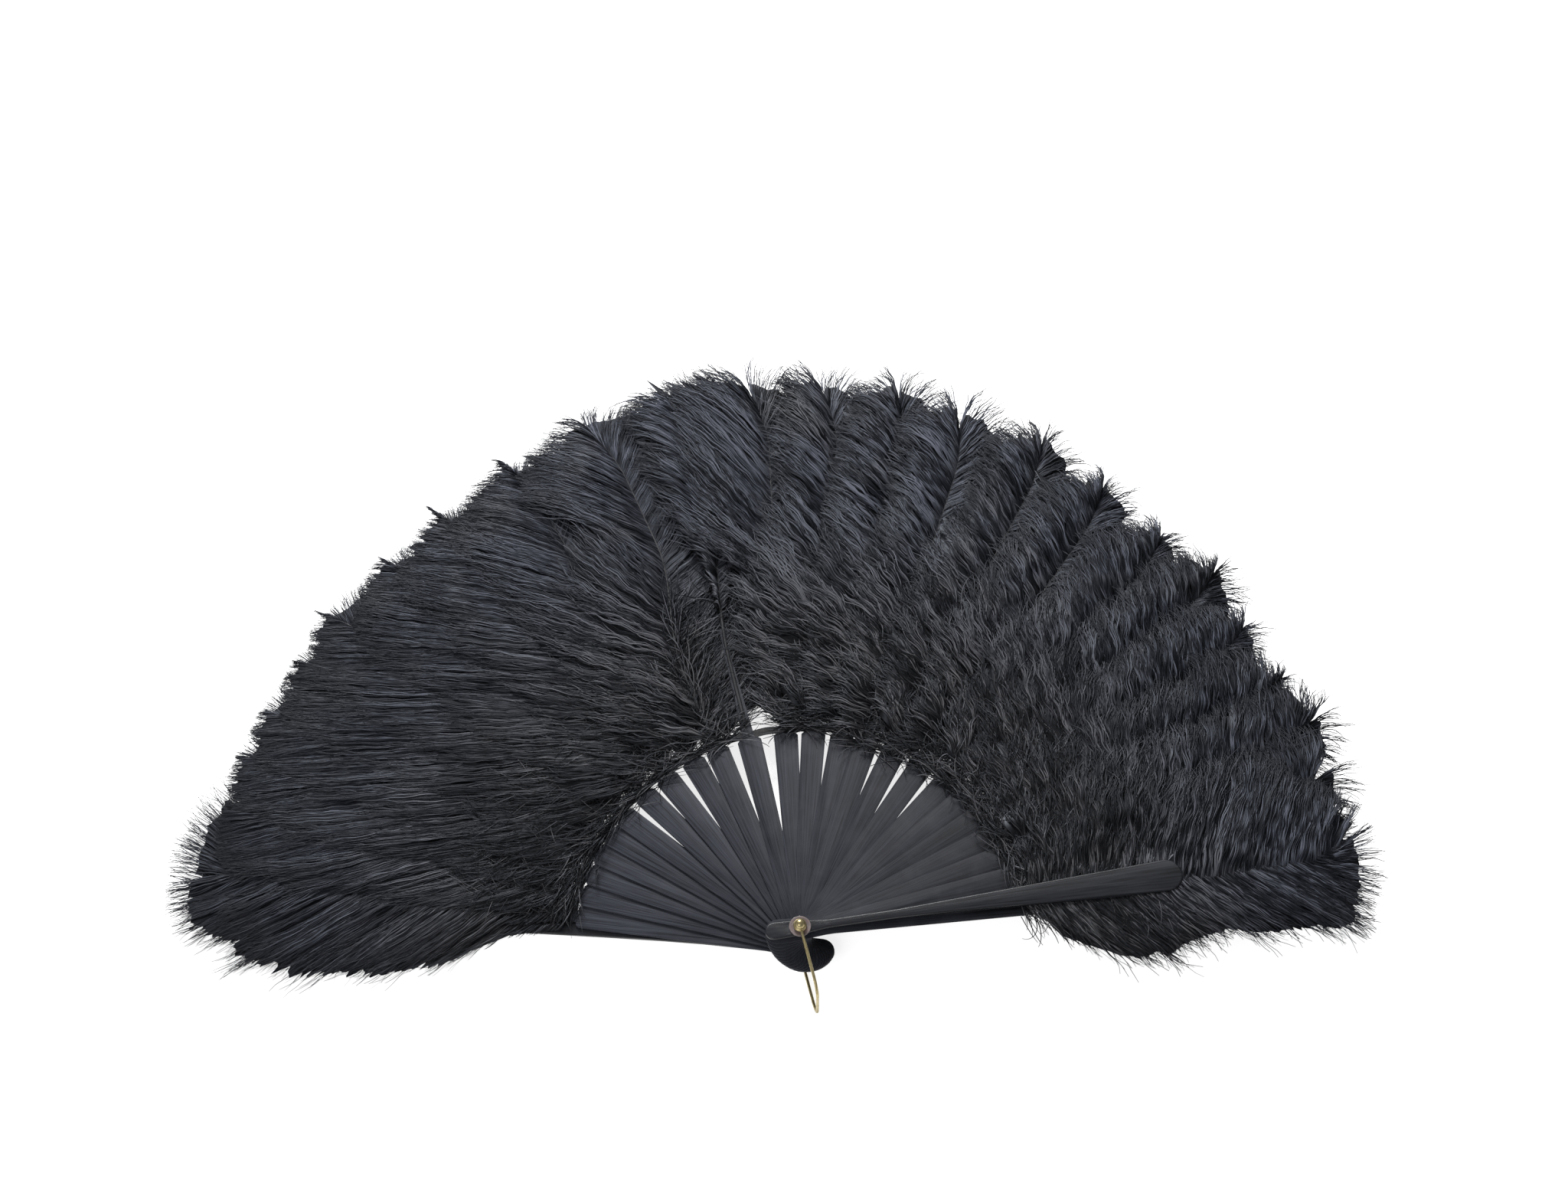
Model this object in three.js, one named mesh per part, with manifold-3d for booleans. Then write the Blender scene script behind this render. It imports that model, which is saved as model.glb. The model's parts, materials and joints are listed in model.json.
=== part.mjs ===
// A folding fan of ostrich plumes. Flat wooden sticks turn on one rivet, each with a plume bound to
// its tongue, between two thicker guards. A ribbon links the sticks and a wire loop hangs on the rivet.
// Millimetres, +Z up. The rivet stands along Z with its flat back head at the origin. The fan lies
// open with its plumes towards +Y, and each stick lies over its neighbour on the left.

import * as THREE from 'three';
import { mergeVertices } from 'three/addons/utils/BufferGeometryUtils.js';
import Module from 'manifold-3d';

// How far the fan is open, as angles from +X in degrees
const INNER_STICKS = 24;
const BACK_GUARD_ANGLE = 173.5;
const FRONT_GUARD_ANGLE = 8.7;
const LOOP_ANGLE = -76;

// Where some sticks stand, as their number and angle. Those between are spread evenly.
const STICK_STOPS = [
  [1, 171.3],
  [6, 142],
  [7, 134.2],
  [8, 127],
  [9, 118.8],
  [10, 111.9],
  [11, 103.2],
  [12, 93.6],
  [13, 86.4],
  [14, 78.8],
  [15, 72.4],
  [16, 64.6],
  [17, 56.3],
  [18, 48.2],
  [23, 14.9],
  [INNER_STICKS, 7],
];

// Clearances
const TURNING_GAP = 0.25; // between layers that turn over each other
const SEAT_GAP = 0.05; // between a plume and the wood that it lies on
const STACK_GAP = 0.2; // between the pieces threaded on the rivet outside the guards
const BORE_GAP = 0.3; // between the rivet and the holes that turn on it
const RIBBON_GAP = 0.1; // between the ribbon and the wood that it lies on

// Inner sticks
const HEAD_REACH = 18; // rounded end behind the rivet
const HEAD_WIDTH = 13.5;
const NECK_AT = 17;
const NECK_WIDTH = 8.4;
const SHOULDER_AT = 116.5;
const BLADE_WIDTH = 12.6; // at the shoulder
const SHOULDER_CHAMFER = 1.5;
const TONGUE_LENGTH = 65.5;
const TONGUE_ROOT_WIDTH = 6.5;
const TONGUE_TIP_WIDTH = 2.2;
const TONGUE_THICKNESS = 0.4;

// Guards
const GUARD_HEAD_REACH = 18;
const GUARD_HEAD_WIDTH = 9.5;
const GUARD_NECK_WIDTH = 4.6;
const GUARD_WAIST_AT = 90; // the flaring edge leaves along the waist and bends to the flare
const GUARD_WAIST_WIDTH = 3.6;
const GUARD_FLARE_AT = 115;
const GUARD_FLARE_WIDTH = 13;
const GUARD_END_WIDTH = 17.5;
const GUARD_COVER = 77; // length of guard lying on its plume
const GUARD_THICKNESS = 2.6;
const GUARD_BEVEL = 0.6;

// Linking ribbon, run behind the tongues just past the shoulders
const RIBBON_WIDTH = 3.5;
const RIBBON_THICKNESS = 0.2;
const RIBBON_SETBACK = 0.8; // from the shoulders, and from the plumes
const RIBBON_REST = 4.4; // degrees of ribbon lying flat on each tongue

// Plumes, with the vane cut into clumps of barbs
const PLUME_LENGTH = 177; // of a plume lying straight across the fan
const PLUME_CROWN = 29; // how much longer the middle plumes are
const PLUME_LEAN = 9.5; // how much the left plumes gain and the right ones lose
const PLUME_UNEVENNESS = 4;
const UNEVEN_TURN = 2.4; // radians of the wave of unevenness from one plume to the next
const PLUME_HALF_WIDTH = 36;
const PLUME_ROOT_HALF_WIDTH = 2.5;
const PLUME_SWELL = 0.42; // share of the length over which the vane widens
const PLUME_TAPER = 0.58; // share of the length where the vane starts to close
const RACHIS_THICKNESS = 0.4;
const RACHIS_ROOT_WIDTH = 3;
const RACHIS_TIP_WIDTH = 0.8;
const RACHIS_STOP = 14; // distance of the rachis end from the plume's tip
const VANE_THICKNESS = 0.3;
const CLUMPS = 7; // on each side
const LAST_CLUMP = 0.97; // share of the length where the last clump ends
const SLIT_DEPTH = 6; // across the vane
const SLIT_SLANT = 3; // back along the vane

// Rivet, washers, knob and carrying loop
const PIN_RADIUS = 1.5;
const RIVET_HEAD_RADIUS = 4.5;
const RIVET_HEAD_THICKNESS = 1;
const WASHER_RADIUS = 5.6;
const WASHER_THICKNESS = 0.8;
const WASHER_BEVEL = 0.3;
const KNOB_RADIUS = 3.2;
const KNOB_RIM = 1.2;
const KNOB_HEIGHT = 3.4;
const KNOB_BORE_DEPTH = 1.6;
const WIRE_RADIUS = 0.8;
const EYE_WALL = 1.7;
const LOOP_ROOM = 18; // finger room between the stick heads and the bow of the loop
const LOOP_CORNER = 9;

// Fineness of the round stretches
const ARC_STEPS = 6;
const TURN_STEPS = 20;
const WIRE_SIDES = 8;
const WIRE_STEPS = 30;
const WELD = 1e-4;

const rad = THREE.MathUtils.degToRad;

// Levels along the rivet, from the back head up
const layerThickness = TONGUE_THICKNESS + SEAT_GAP + RACHIS_THICKNESS;
const layerPitch = layerThickness + TURNING_GAP;
const eyeThickness = 2 * WIRE_RADIUS;
const backEyeZ = RIVET_HEAD_THICKNESS + STACK_GAP;
const backWasherZ = backEyeZ + eyeThickness + STACK_GAP;
const backGuardZ = backWasherZ + WASHER_THICKNESS + STACK_GAP;
const backPlumeZ = backGuardZ + GUARD_THICKNESS + SEAT_GAP;
const firstStickZ = backPlumeZ + RACHIS_THICKNESS + TURNING_GAP;
const frontPlumeZ = firstStickZ + INNER_STICKS * layerPitch;
const frontGuardZ = frontPlumeZ + RACHIS_THICKNESS + SEAT_GAP;
const frontWasherZ = frontGuardZ + GUARD_THICKNESS + STACK_GAP;
const frontEyeZ = frontWasherZ + WASHER_THICKNESS + STACK_GAP;
const knobZ = frontEyeZ + eyeThickness + STACK_GAP;
const pinTopZ = knobZ + KNOB_BORE_DEPTH - STACK_GAP;

// Distances from the rivet along the sticks
const boreRadius = PIN_RADIUS + BORE_GAP;
const ribbonInner = SHOULDER_AT + RIBBON_SETBACK;
const ribbonOuter = ribbonInner + RIBBON_WIDTH;
const plumeRoot = ribbonOuter + RIBBON_SETBACK;
const guardEnd = plumeRoot + GUARD_COVER;
const loopReach = Math.max(HEAD_REACH, GUARD_HEAD_REACH) + LOOP_ROOM + WIRE_RADIUS;

const lastIndex = INNER_STICKS + 1;
const stickZ = (index) => firstStickZ + (index - 1) * layerPitch;

// Angle of a stick, or of a guard at either end
function stickAngle(index) {
  if (index === 0) return rad(BACK_GUARD_ANGLE);
  if (index === lastIndex) return rad(FRONT_GUARD_ANGLE);
  const next = Math.max(1, STICK_STOPS.findIndex(([number]) => number >= index));
  const [fromNumber, fromAngle] = STICK_STOPS[next - 1];
  const [toNumber, toAngle] = STICK_STOPS[next];
  return rad(THREE.MathUtils.mapLinear(index, fromNumber, toNumber, fromAngle, toAngle));
}

const ebony = () => new THREE.MeshStandardMaterial({ color: 0x34363b, roughness: 0.6 });
const feather = () => new THREE.MeshStandardMaterial({ color: 0x1a1b1e, roughness: 0.55 });
const silk = () => new THREE.MeshStandardMaterial({ color: 0x24252a, roughness: 0.5 });
const pearl = () => new THREE.MeshStandardMaterial({ color: 0xc4adb2, roughness: 0.3 });
const brass = () =>
  new THREE.MeshStandardMaterial({ color: 0xa8955c, roughness: 0.35, metalness: 1 });

const wasm = await Module();
wasm.setup();

// A solid for joining, from a closed geometry
function solidOf(geometry) {
  const bare = geometry.clone();
  bare.deleteAttribute('normal');
  bare.deleteAttribute('uv');
  const welded = mergeVertices(bare, WELD);
  return new wasm.Manifold(
    new wasm.Mesh({
      numProp: 3,
      vertProperties: Float32Array.from(welded.attributes.position.array),
      triVerts: Uint32Array.from(welded.index.array),
    }),
  );
}

// A geometry of the union of closed geometries
function joined(first, ...others) {
  let solid = solidOf(first);
  for (const other of others) solid = solid.add(solidOf(other));
  const { vertProperties, triVerts } = solid.getMesh();
  const geometry = new THREE.BufferGeometry();
  geometry.setAttribute('position', new THREE.BufferAttribute(vertProperties, 3));
  geometry.setIndex(new THREE.BufferAttribute(triVerts, 1));
  geometry.computeVertexNormals();
  return geometry;
}

function plate(shape, thickness) {
  const options = { depth: thickness, bevelEnabled: false, curveSegments: ARC_STEPS };
  return new THREE.ExtrudeGeometry(shape, options);
}

function bevelledPlate(shape, thickness, bevel) {
  const geometry = new THREE.ExtrudeGeometry(shape, {
    depth: thickness - 2 * bevel,
    bevelThickness: bevel,
    bevelSize: bevel,
    bevelOffset: -bevel,
    bevelSegments: 1,
    curveSegments: 2 * ARC_STEPS,
  });
  return geometry.translate(0, 0, bevel);
}

function lathe(profile) {
  const points = profile.map(([radius, height]) => new THREE.Vector2(radius, height));
  return new THREE.LatheGeometry(points, TURN_STEPS).rotateX(Math.PI / 2);
}

function circle(radius) {
  return new THREE.Path().absarc(0, 0, radius, 0, 2 * Math.PI, false);
}

function mesh(name, geometry, material) {
  const piece = new THREE.Mesh(geometry, material);
  piece.name = name;
  return piece;
}

// The rounded head behind the rivet, drawn from the lower side of the neck round to its upper side
function drawHead(shape, reach, width, neckWidth) {
  const centre = -(reach - width / 2);
  shape.moveTo(NECK_AT, neckWidth / 2);
  shape.bezierCurveTo(NECK_AT / 2, neckWidth / 2, 0, width / 2, centre, width / 2);
  shape.absarc(centre, 0, width / 2, Math.PI / 2, (3 * Math.PI) / 2, false);
  shape.bezierCurveTo(0, -width / 2, NECK_AT / 2, -neckWidth / 2, NECK_AT, -neckWidth / 2);
  shape.holes.push(circle(boreRadius));
}

function stickGeometry() {
  const half = BLADE_WIDTH / 2;
  const blade = new THREE.Shape();
  drawHead(blade, HEAD_REACH, HEAD_WIDTH, NECK_WIDTH);
  blade.lineTo(SHOULDER_AT - SHOULDER_CHAMFER, -half);
  blade.lineTo(SHOULDER_AT, -half + SHOULDER_CHAMFER);
  blade.lineTo(SHOULDER_AT, half - SHOULDER_CHAMFER);
  blade.lineTo(SHOULDER_AT - SHOULDER_CHAMFER, half);
  blade.closePath();

  const tongueStart = SHOULDER_AT - TONGUE_ROOT_WIDTH;
  const tongueEnd = SHOULDER_AT + TONGUE_LENGTH;
  const tongue = new THREE.Shape();
  tongue.moveTo(tongueStart, -TONGUE_ROOT_WIDTH / 2);
  tongue.lineTo(SHOULDER_AT, -TONGUE_ROOT_WIDTH / 2);
  tongue.lineTo(tongueEnd, -TONGUE_TIP_WIDTH / 2);
  tongue.lineTo(tongueEnd, TONGUE_TIP_WIDTH / 2);
  tongue.lineTo(SHOULDER_AT, TONGUE_ROOT_WIDTH / 2);
  tongue.lineTo(tongueStart, TONGUE_ROOT_WIDTH / 2);
  tongue.closePath();
  return joined(plate(blade, layerThickness), plate(tongue, TONGUE_THICKNESS));
}

function guardGeometry() {
  const endRadius = GUARD_END_WIDTH / 2;
  const endCentre = guardEnd - endRadius;
  const neck = GUARD_NECK_WIDTH / 2;
  const waist = GUARD_WAIST_WIDTH / 2;
  const flare = GUARD_FLARE_WIDTH / 2;
  const shape = new THREE.Shape();
  drawHead(shape, GUARD_HEAD_REACH, GUARD_HEAD_WIDTH, GUARD_NECK_WIDTH);
  shape.bezierCurveTo(GUARD_WAIST_AT, -waist, GUARD_FLARE_AT, -flare, endCentre, -endRadius);
  shape.absarc(endCentre, 0, endRadius, -Math.PI / 2, Math.PI / 2, false);
  shape.bezierCurveTo(GUARD_FLARE_AT, flare, GUARD_WAIST_AT, waist, NECK_AT, neck);
  shape.closePath();
  return bevelledPlate(shape, GUARD_THICKNESS, GUARD_BEVEL);
}

function plumeLength(index) {
  const angle = stickAngle(index);
  const across = PLUME_CROWN * Math.sin(angle) - PLUME_LEAN * Math.cos(angle);
  return PLUME_LENGTH + across + PLUME_UNEVENNESS * Math.sin(UNEVEN_TURN * index);
}

// Half the width of the vane at a share of its length
function vaneHalfWidth(share) {
  const swell = Math.sin((Math.PI / 2) * Math.min(1, share / PLUME_SWELL));
  const taper = Math.max(0, (share - PLUME_TAPER) / (1 - PLUME_TAPER));
  return PLUME_HALF_WIDTH * swell * Math.sqrt(1 - taper * taper);
}

function plumeGeometry(length) {
  const tip = plumeRoot + length;
  const edge = [[plumeRoot, PLUME_ROOT_HALF_WIDTH]];
  for (let clump = 1; clump <= CLUMPS; clump++) {
    const share = (clump / CLUMPS) * LAST_CLUMP;
    const along = plumeRoot + share * length;
    const across = vaneHalfWidth(share);
    edge.push([along, across]);
    edge.push([along - SLIT_SLANT, across - SLIT_DEPTH]);
  }
  const upper = edge.map(([along, across]) => new THREE.Vector2(along, across));
  const lower = edge.map(([along, across]) => new THREE.Vector2(along, -across)).reverse();
  const vane = new THREE.Shape([...upper, new THREE.Vector2(tip, 0), ...lower]);

  const rachis = new THREE.Shape();
  rachis.moveTo(plumeRoot, -RACHIS_ROOT_WIDTH / 2);
  rachis.lineTo(tip - RACHIS_STOP, -RACHIS_TIP_WIDTH / 2);
  rachis.lineTo(tip - RACHIS_STOP, RACHIS_TIP_WIDTH / 2);
  rachis.lineTo(plumeRoot, RACHIS_ROOT_WIDTH / 2);
  rachis.closePath();
  return joined(plate(vane, VANE_THICKNESS), plate(rachis, RACHIS_THICKNESS));
}

// A flat strip that lies under every stick and climbs one layer between each two
function ribbonGeometry() {
  const positions = [];
  const faces = [];
  const addStation = (angle, z) => {
    for (const radius of [ribbonInner, ribbonOuter]) {
      const x = radius * Math.cos(angle);
      const y = radius * Math.sin(angle);
      positions.push(x, y, z, x, y, z + RIBBON_THICKNESS);
    }
  };
  for (let index = 1; index <= INNER_STICKS; index++) {
    const z = stickZ(index) - RIBBON_GAP - RIBBON_THICKNESS;
    addStation(stickAngle(index) + rad(RIBBON_REST / 2), z);
    addStation(stickAngle(index) - rad(RIBBON_REST / 2), z);
  }
  // Corners of a station: 0 inner low, 1 inner high, 2 outer low, 3 outer high
  const around = [0, 2, 3, 1];
  const stations = 2 * INNER_STICKS;
  for (let station = 0; station + 1 < stations; station++) {
    for (let side = 0; side < around.length; side++) {
      const a = 4 * station + around[side];
      const b = 4 * station + around[(side + 1) % around.length];
      faces.push(a, b, b + 4, a, b + 4, a + 4);
    }
  }
  const last = 4 * (stations - 1);
  faces.push(0, 1, 3, 0, 3, 2);
  faces.push(last, last + 2, last + 3, last, last + 3, last + 1);
  const geometry = new THREE.BufferGeometry();
  geometry.setAttribute('position', new THREE.Float32BufferAttribute(positions, 3));
  geometry.setIndex(faces);
  geometry.computeVertexNormals();
  return geometry;
}

function rivetGeometry() {
  return lathe([
    [0, 0],
    [RIVET_HEAD_RADIUS, 0],
    [RIVET_HEAD_RADIUS, RIVET_HEAD_THICKNESS],
    [PIN_RADIUS, RIVET_HEAD_THICKNESS],
    [PIN_RADIUS, pinTopZ],
    [0, pinTopZ],
  ]);
}

function washerGeometry() {
  return lathe([
    [boreRadius, 0],
    [WASHER_RADIUS, 0],
    [WASHER_RADIUS, WASHER_THICKNESS - WASHER_BEVEL],
    [WASHER_RADIUS - WASHER_BEVEL, WASHER_THICKNESS],
    [boreRadius, WASHER_THICKNESS],
    [boreRadius, 0],
  ]);
}

// A brass dome with a blind bore for the end of the rivet
function knobGeometry() {
  const profile = [
    [0, KNOB_BORE_DEPTH],
    [boreRadius, KNOB_BORE_DEPTH],
    [boreRadius, 0],
    [KNOB_RADIUS, 0],
  ];
  for (let step = 0; step < ARC_STEPS; step++) {
    const turn = (step / ARC_STEPS) * (Math.PI / 2);
    const height = KNOB_RIM + (KNOB_HEIGHT - KNOB_RIM) * Math.sin(turn);
    profile.push([KNOB_RADIUS * Math.cos(turn), height]);
  }
  profile.push([0, KNOB_HEIGHT]);
  return lathe(profile);
}

// A wire bow with an eye at each end, drawn along +X
function loopGeometry() {
  const backZ = backEyeZ + WIRE_RADIUS;
  const frontZ = frontEyeZ + WIRE_RADIUS;
  const eyeX = boreRadius + EYE_WALL / 2;
  const turnX = loopReach - LOOP_CORNER;
  const point = (x, z) => new THREE.Vector3(x, 0, z);
  const frontEnd = point(eyeX, frontZ);
  const frontTurn = point(turnX, frontZ);
  const frontBow = point(loopReach, frontZ - LOOP_CORNER);
  const backBow = point(loopReach, backZ + LOOP_CORNER);
  const backTurn = point(turnX, backZ);
  const backEnd = point(eyeX, backZ);
  const bow = new THREE.CurvePath();
  bow.add(new THREE.LineCurve3(frontEnd, frontTurn));
  bow.add(new THREE.QuadraticBezierCurve3(frontTurn, point(loopReach, frontZ), frontBow));
  bow.add(new THREE.LineCurve3(frontBow, backBow));
  bow.add(new THREE.QuadraticBezierCurve3(backBow, point(loopReach, backZ), backTurn));
  bow.add(new THREE.LineCurve3(backTurn, backEnd));

  const section = new THREE.Shape();
  for (let side = 0; side < WIRE_SIDES; side++) {
    const turn = ((side + 0.5) / WIRE_SIDES) * 2 * Math.PI;
    const spot = [WIRE_RADIUS * Math.cos(turn), WIRE_RADIUS * Math.sin(turn)];
    if (side === 0) section.moveTo(...spot);
    else section.lineTo(...spot);
  }
  section.closePath();
  const wire = new THREE.ExtrudeGeometry(section, { extrudePath: bow, steps: WIRE_STEPS });

  const ring = new THREE.Shape().absarc(0, 0, boreRadius + EYE_WALL, 0, 2 * Math.PI, false);
  ring.holes.push(circle(boreRadius));
  const backEye = plate(ring, eyeThickness).translate(0, 0, backEyeZ);
  const frontEye = plate(ring, eyeThickness).translate(0, 0, frontEyeZ);
  return joined(wire, backEye, frontEye);
}

// A stick or guard with its plume, turned to its place in the open fan
function arm(index, wood, woodZ, plumeZ) {
  const number = String(index).padStart(2, '0');
  const plume = mesh(`plume_${number}`, plumeGeometry(plumeLength(index)), feather());
  wood.position.z = woodZ;
  plume.position.z = plumeZ;
  const group = new THREE.Group();
  group.add(wood, plume);
  group.rotation.z = stickAngle(index);
  return group;
}

const fan = new THREE.Group();

fan.add(arm(0, mesh('back_guard', guardGeometry(), ebony()), backGuardZ, backPlumeZ));
for (let index = 1; index <= INNER_STICKS; index++) {
  const number = String(index).padStart(2, '0');
  const stick = mesh(`stick_${number}`, stickGeometry(), ebony());
  fan.add(arm(index, stick, stickZ(index), stickZ(index) + TONGUE_THICKNESS + SEAT_GAP));
}
fan.add(arm(lastIndex, mesh('front_guard', guardGeometry(), ebony()), frontGuardZ, frontPlumeZ));

fan.add(mesh('link_ribbon', ribbonGeometry(), silk()));
fan.add(mesh('rivet', rivetGeometry(), brass()));

const backWasher = mesh('back_washer', washerGeometry(), pearl());
backWasher.position.z = backWasherZ;
const frontWasher = mesh('front_washer', washerGeometry(), pearl());
frontWasher.position.z = frontWasherZ;
const knob = mesh('rivet_knob', knobGeometry(), brass());
knob.position.z = knobZ;
const loop = mesh('carrying_loop', loopGeometry(), brass());
loop.rotation.z = rad(LOOP_ANGLE);
fan.add(backWasher, frontWasher, knob, loop);

export default fan;
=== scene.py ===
"""A folding ostrich-plume fan lying open on a pale table, seen from the side of its rivet.

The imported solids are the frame. Every plume is grown barb by barb along its own shaft, the wood is
eased at its edges and stained black, the ribbon runs in links from stick to stick, and the knob, the
washers and the carrying loop are turned and bent finer.
"""

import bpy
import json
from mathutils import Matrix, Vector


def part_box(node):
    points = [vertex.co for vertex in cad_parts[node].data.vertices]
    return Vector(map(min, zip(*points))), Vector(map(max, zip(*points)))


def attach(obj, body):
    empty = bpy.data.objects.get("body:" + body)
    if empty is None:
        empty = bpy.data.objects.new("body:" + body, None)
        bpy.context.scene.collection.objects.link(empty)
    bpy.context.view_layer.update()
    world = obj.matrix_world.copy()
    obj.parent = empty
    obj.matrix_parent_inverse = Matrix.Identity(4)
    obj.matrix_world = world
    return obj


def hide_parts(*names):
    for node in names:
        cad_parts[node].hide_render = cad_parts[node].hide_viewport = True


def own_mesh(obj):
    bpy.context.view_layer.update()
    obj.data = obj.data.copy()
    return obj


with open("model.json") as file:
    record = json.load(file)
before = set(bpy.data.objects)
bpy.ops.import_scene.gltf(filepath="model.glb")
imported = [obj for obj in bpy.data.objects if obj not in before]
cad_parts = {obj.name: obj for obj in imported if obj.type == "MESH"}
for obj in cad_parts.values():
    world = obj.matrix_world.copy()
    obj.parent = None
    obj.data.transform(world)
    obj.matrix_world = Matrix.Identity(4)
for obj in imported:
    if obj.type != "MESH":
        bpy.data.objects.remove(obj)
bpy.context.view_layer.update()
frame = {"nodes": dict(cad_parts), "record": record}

import json
import math

import bmesh
import bpy
import numpy as np
from mathutils import Vector

MM = 0.001

# The photograph's frame and the fan's place in it
PHOTO_WIDTH, PHOTO_HEIGHT = 2048, 1537
RIVET_PIXEL = (1045, 1204)
MM_PER_PIXEL = 0.39
VIEW_ELEVATION = math.radians(64)
VIEW_DISTANCE = 2.6
SENSOR_WIDTH = 36

# Arms of the fan: the back guard, the inner sticks and the front guard, from left to right
LAST_ARM = sum(node.startswith("plume_") for node in frame["nodes"]) - 1
STICKS = [f"stick_{arm:02d}" for arm in range(1, LAST_ARM)]
GUARDS = ["back_guard", "front_guard"]
PLUMES = [f"plume_{arm:02d}" for arm in range(LAST_ARM + 1)]
BODY_OF = {
    node: body
    for body, nodes in frame["record"]["behaviour"]["bodies"].items()
    for node in nodes
}

# Plumes: sizes in millimetres, angles in degrees, and places along a shaft as shares of its length.
# A pair of lists gives stops, with even change between them.
TIP_TUFT = 15
SHAFT_RADIUS = (1.1, 0.4)
SHAFT_END_RADIUS = 0.02
SHAFT_FLATNESS = 0.45
SHAFT_STEPS = 40
SHAFT_SIDES = 6
SHAFT_ARCH = 1.2
SWEEP = 3
HOOK_FROM, HOOK_SPAN, HOOK_RISE = 0.84, 0.16, 1.5
LEAN_FROM, LEAN_SPAN = 0.22, 0.4
BARB_STEPS = 15
BARBS_SHOWN = 900
BARBS_COVERED = 560
BARB_WIDTH = 0.42
BARB_WIDTH_SHARE = (0.7, 1.3)
BARB_ROLL = 0.5
BARB_TAPER = 0.6
BARB_RIDGE = 0.7
WAVE_SWING = 11
WAVE_LENGTH = 17
WAVE_LIMIT = 1.4
# The length of the painted glints along a barb
GLINT_LENGTH = 15
WEB_ROWS = 130
WEB_STOP = ([0.0, 0.7, 0.9, 1.0], [0.96, 0.95, 0.86, 0.6])
WEB_RAGGED = 0.07
COVERED_WEB = ([0.6, 0.9], [1.0, 0.84])
COVERED_RAGGED = 0.4
WEB_BELOW = 0.45
# The webs stand for the barbules under the barbs; their tint, darker than any barb's, is painted shade
# among the barbs
WEB_SHADE_TINT = 0.05
WEB_RUN = 0.5
BARB_LEAN = ([0.0, 0.1, 0.4, 0.8, 0.93, 1.0], [78, 66, 57, 51, 40, 8])
BARB_BEND = ([0.0, 0.15, 0.6, 1.0], [26, 20, 14, 4])
BARB_REACH = ([0.0, 0.1, 0.3, 0.6, 0.85, 1.0], [24, 33, 44, 55, 64, 58])
DOME_HALF_WIDTH = 38
MAP_ROWS = 20
MAP_BARBS = 0.85

# How barbs gather in locks and clumps, and how far each strays from an even lie
LOCKS = 15
LOCK_LEAN = 4.0
LOCK_RISE = 0.8
LOCK_REACH = 0.06
LOCK_STREAK = 0.15
CLUMPS = 120
CLUMP_LEAN = 3.0
CLUMP_RISE = 0.45
CLUMP_REACH = 0.06
CLUMP_MIXING = 0.2
CLUMP_GATHER = 0.7
LEAN_STRAY = 1.8
BEND_STRAY = 4
CURL_STRAY = 26
ROLL_STRAY = 0.4
REACH_STRAY = 0.07
GLINT_STRAY = 1.0
LOOSE_RISE = (-0.1, 0.9)
RUFFLED = 0.8

# The trimmed outline of a plume, and how frayed it is
TRIM_STRAY = 1.5
FRAY = 1.3
FRAY_RATE = 0.32
RAGGED_BARB = 1.6
RAGGED_CLUMP = 1.1

# How high the barbs stand over the shaft, to its left and to its right
ARCH_SKEW = 0.8
LEFT_TIP_RISE = 1.3
RIGHT_ARCH = 1.2
RIGHT_LOCK_RISE = 0.5
RIGHT_TIP_FALL = 3.0
HELD_TIP_FALL = 0.6

# The loose barbs at a root: ranges of their lean, reach, rise, width and tints
BARE_FLUFF = 40
SMOOTH_FLUFF_STOP = 0.26
RUFFLED_FLUFF_STOP = 0.42
FLUFF_CROWDING = 1.5
FLUFF_LEAN = (8, 80)
FLUFF_SPLAY = (0, 55)
FLUFF_CURL = -15
FLUFF_CURL_STRAY = 45
FLUFF_REACH = (13, 24)
FLUFF_GROWTH = 40
FLUFF_RISE = (0.5, 4.5)
HELD_FLUFF_RISE = 0.1
FLUFF_BESIDE_TONGUE = 0.8
FLUFF_WIDTH_SHARE = (0.8, 1.4)
LIGHT_TINT = (0.65, 1.0)
DARK_TINT = (0.0, 0.45)

# How the plumes' outer edges stand out below both guards, as shares of the common reach
LEFT_EDGE_REACH = (
    [0.0, 0.1, 0.2, 0.3, 0.45, 0.6, 0.8, 1.0],
    [0.2, 0.45, 1.2, 1.3, 1.3, 1.15, 0.75, 0.65],
)
RIGHT_EDGE_REACH = (
    [0.0, 0.1, 0.2, 0.3, 0.42, 0.55, 0.75, 1.0],
    [1.0, 1.6, 1.3, 1.0, 0.85, 0.9, 1.0, 1.1],
)

# How the left half vanes are combed over, by the plume's angle: shares of the common lean
COMB = (
    [8, 20, 45, 75, 92, 105, 135, 155, 166, 171],
    [1.4, 1.3, 1.05, 1.1, 0.8, 0.85, 0.9, 0.67, 0.67, 0.85],
)
RIGHT_COMB = 0.92

# What changes from arm to arm, from the left to the right
TRIM = (
    [0, 1, 2, 3, 4, 6, 7, 8, 9, 10, 11, 12, 13, 14, 15, 16, 17, 19, 20, 21, 22, 23, 25],
    [19, 20, -3, -5, -7, -14, -8, -17, -14, 4, -4, 11, 8, 6, 16, 2, -6, -9, -8, -11, 4, 10, 3],
)
HOOK = ([0, 13, 15, 21, 23], [2, 7, 5, 5, 10])
CROWN = ([0, 13, 15, 21, 23], [3, 7, 4, 4, 10])
FULLNESS = ([6, 8, 9, 12, 13, 16, 20], [1.3, 1.4, 1.6, 1.6, 1.25, 1.05, 1.05])
RIGHT_FULLNESS = 1.1
TOUSLE = ([6, 16, 23, 24], [0.55, 1.5, 1.4, 0.8])
TOUSLE_ALONG = ([0.0, 0.5, 0.75], [2.4, 1.0, 0.65])
PANEL_FROM = 13
PANEL = ([0.3, 0.6], [1.0, 0.62])
RIM_CURL = ([0.45, 0.8], [0, 34])
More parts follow.
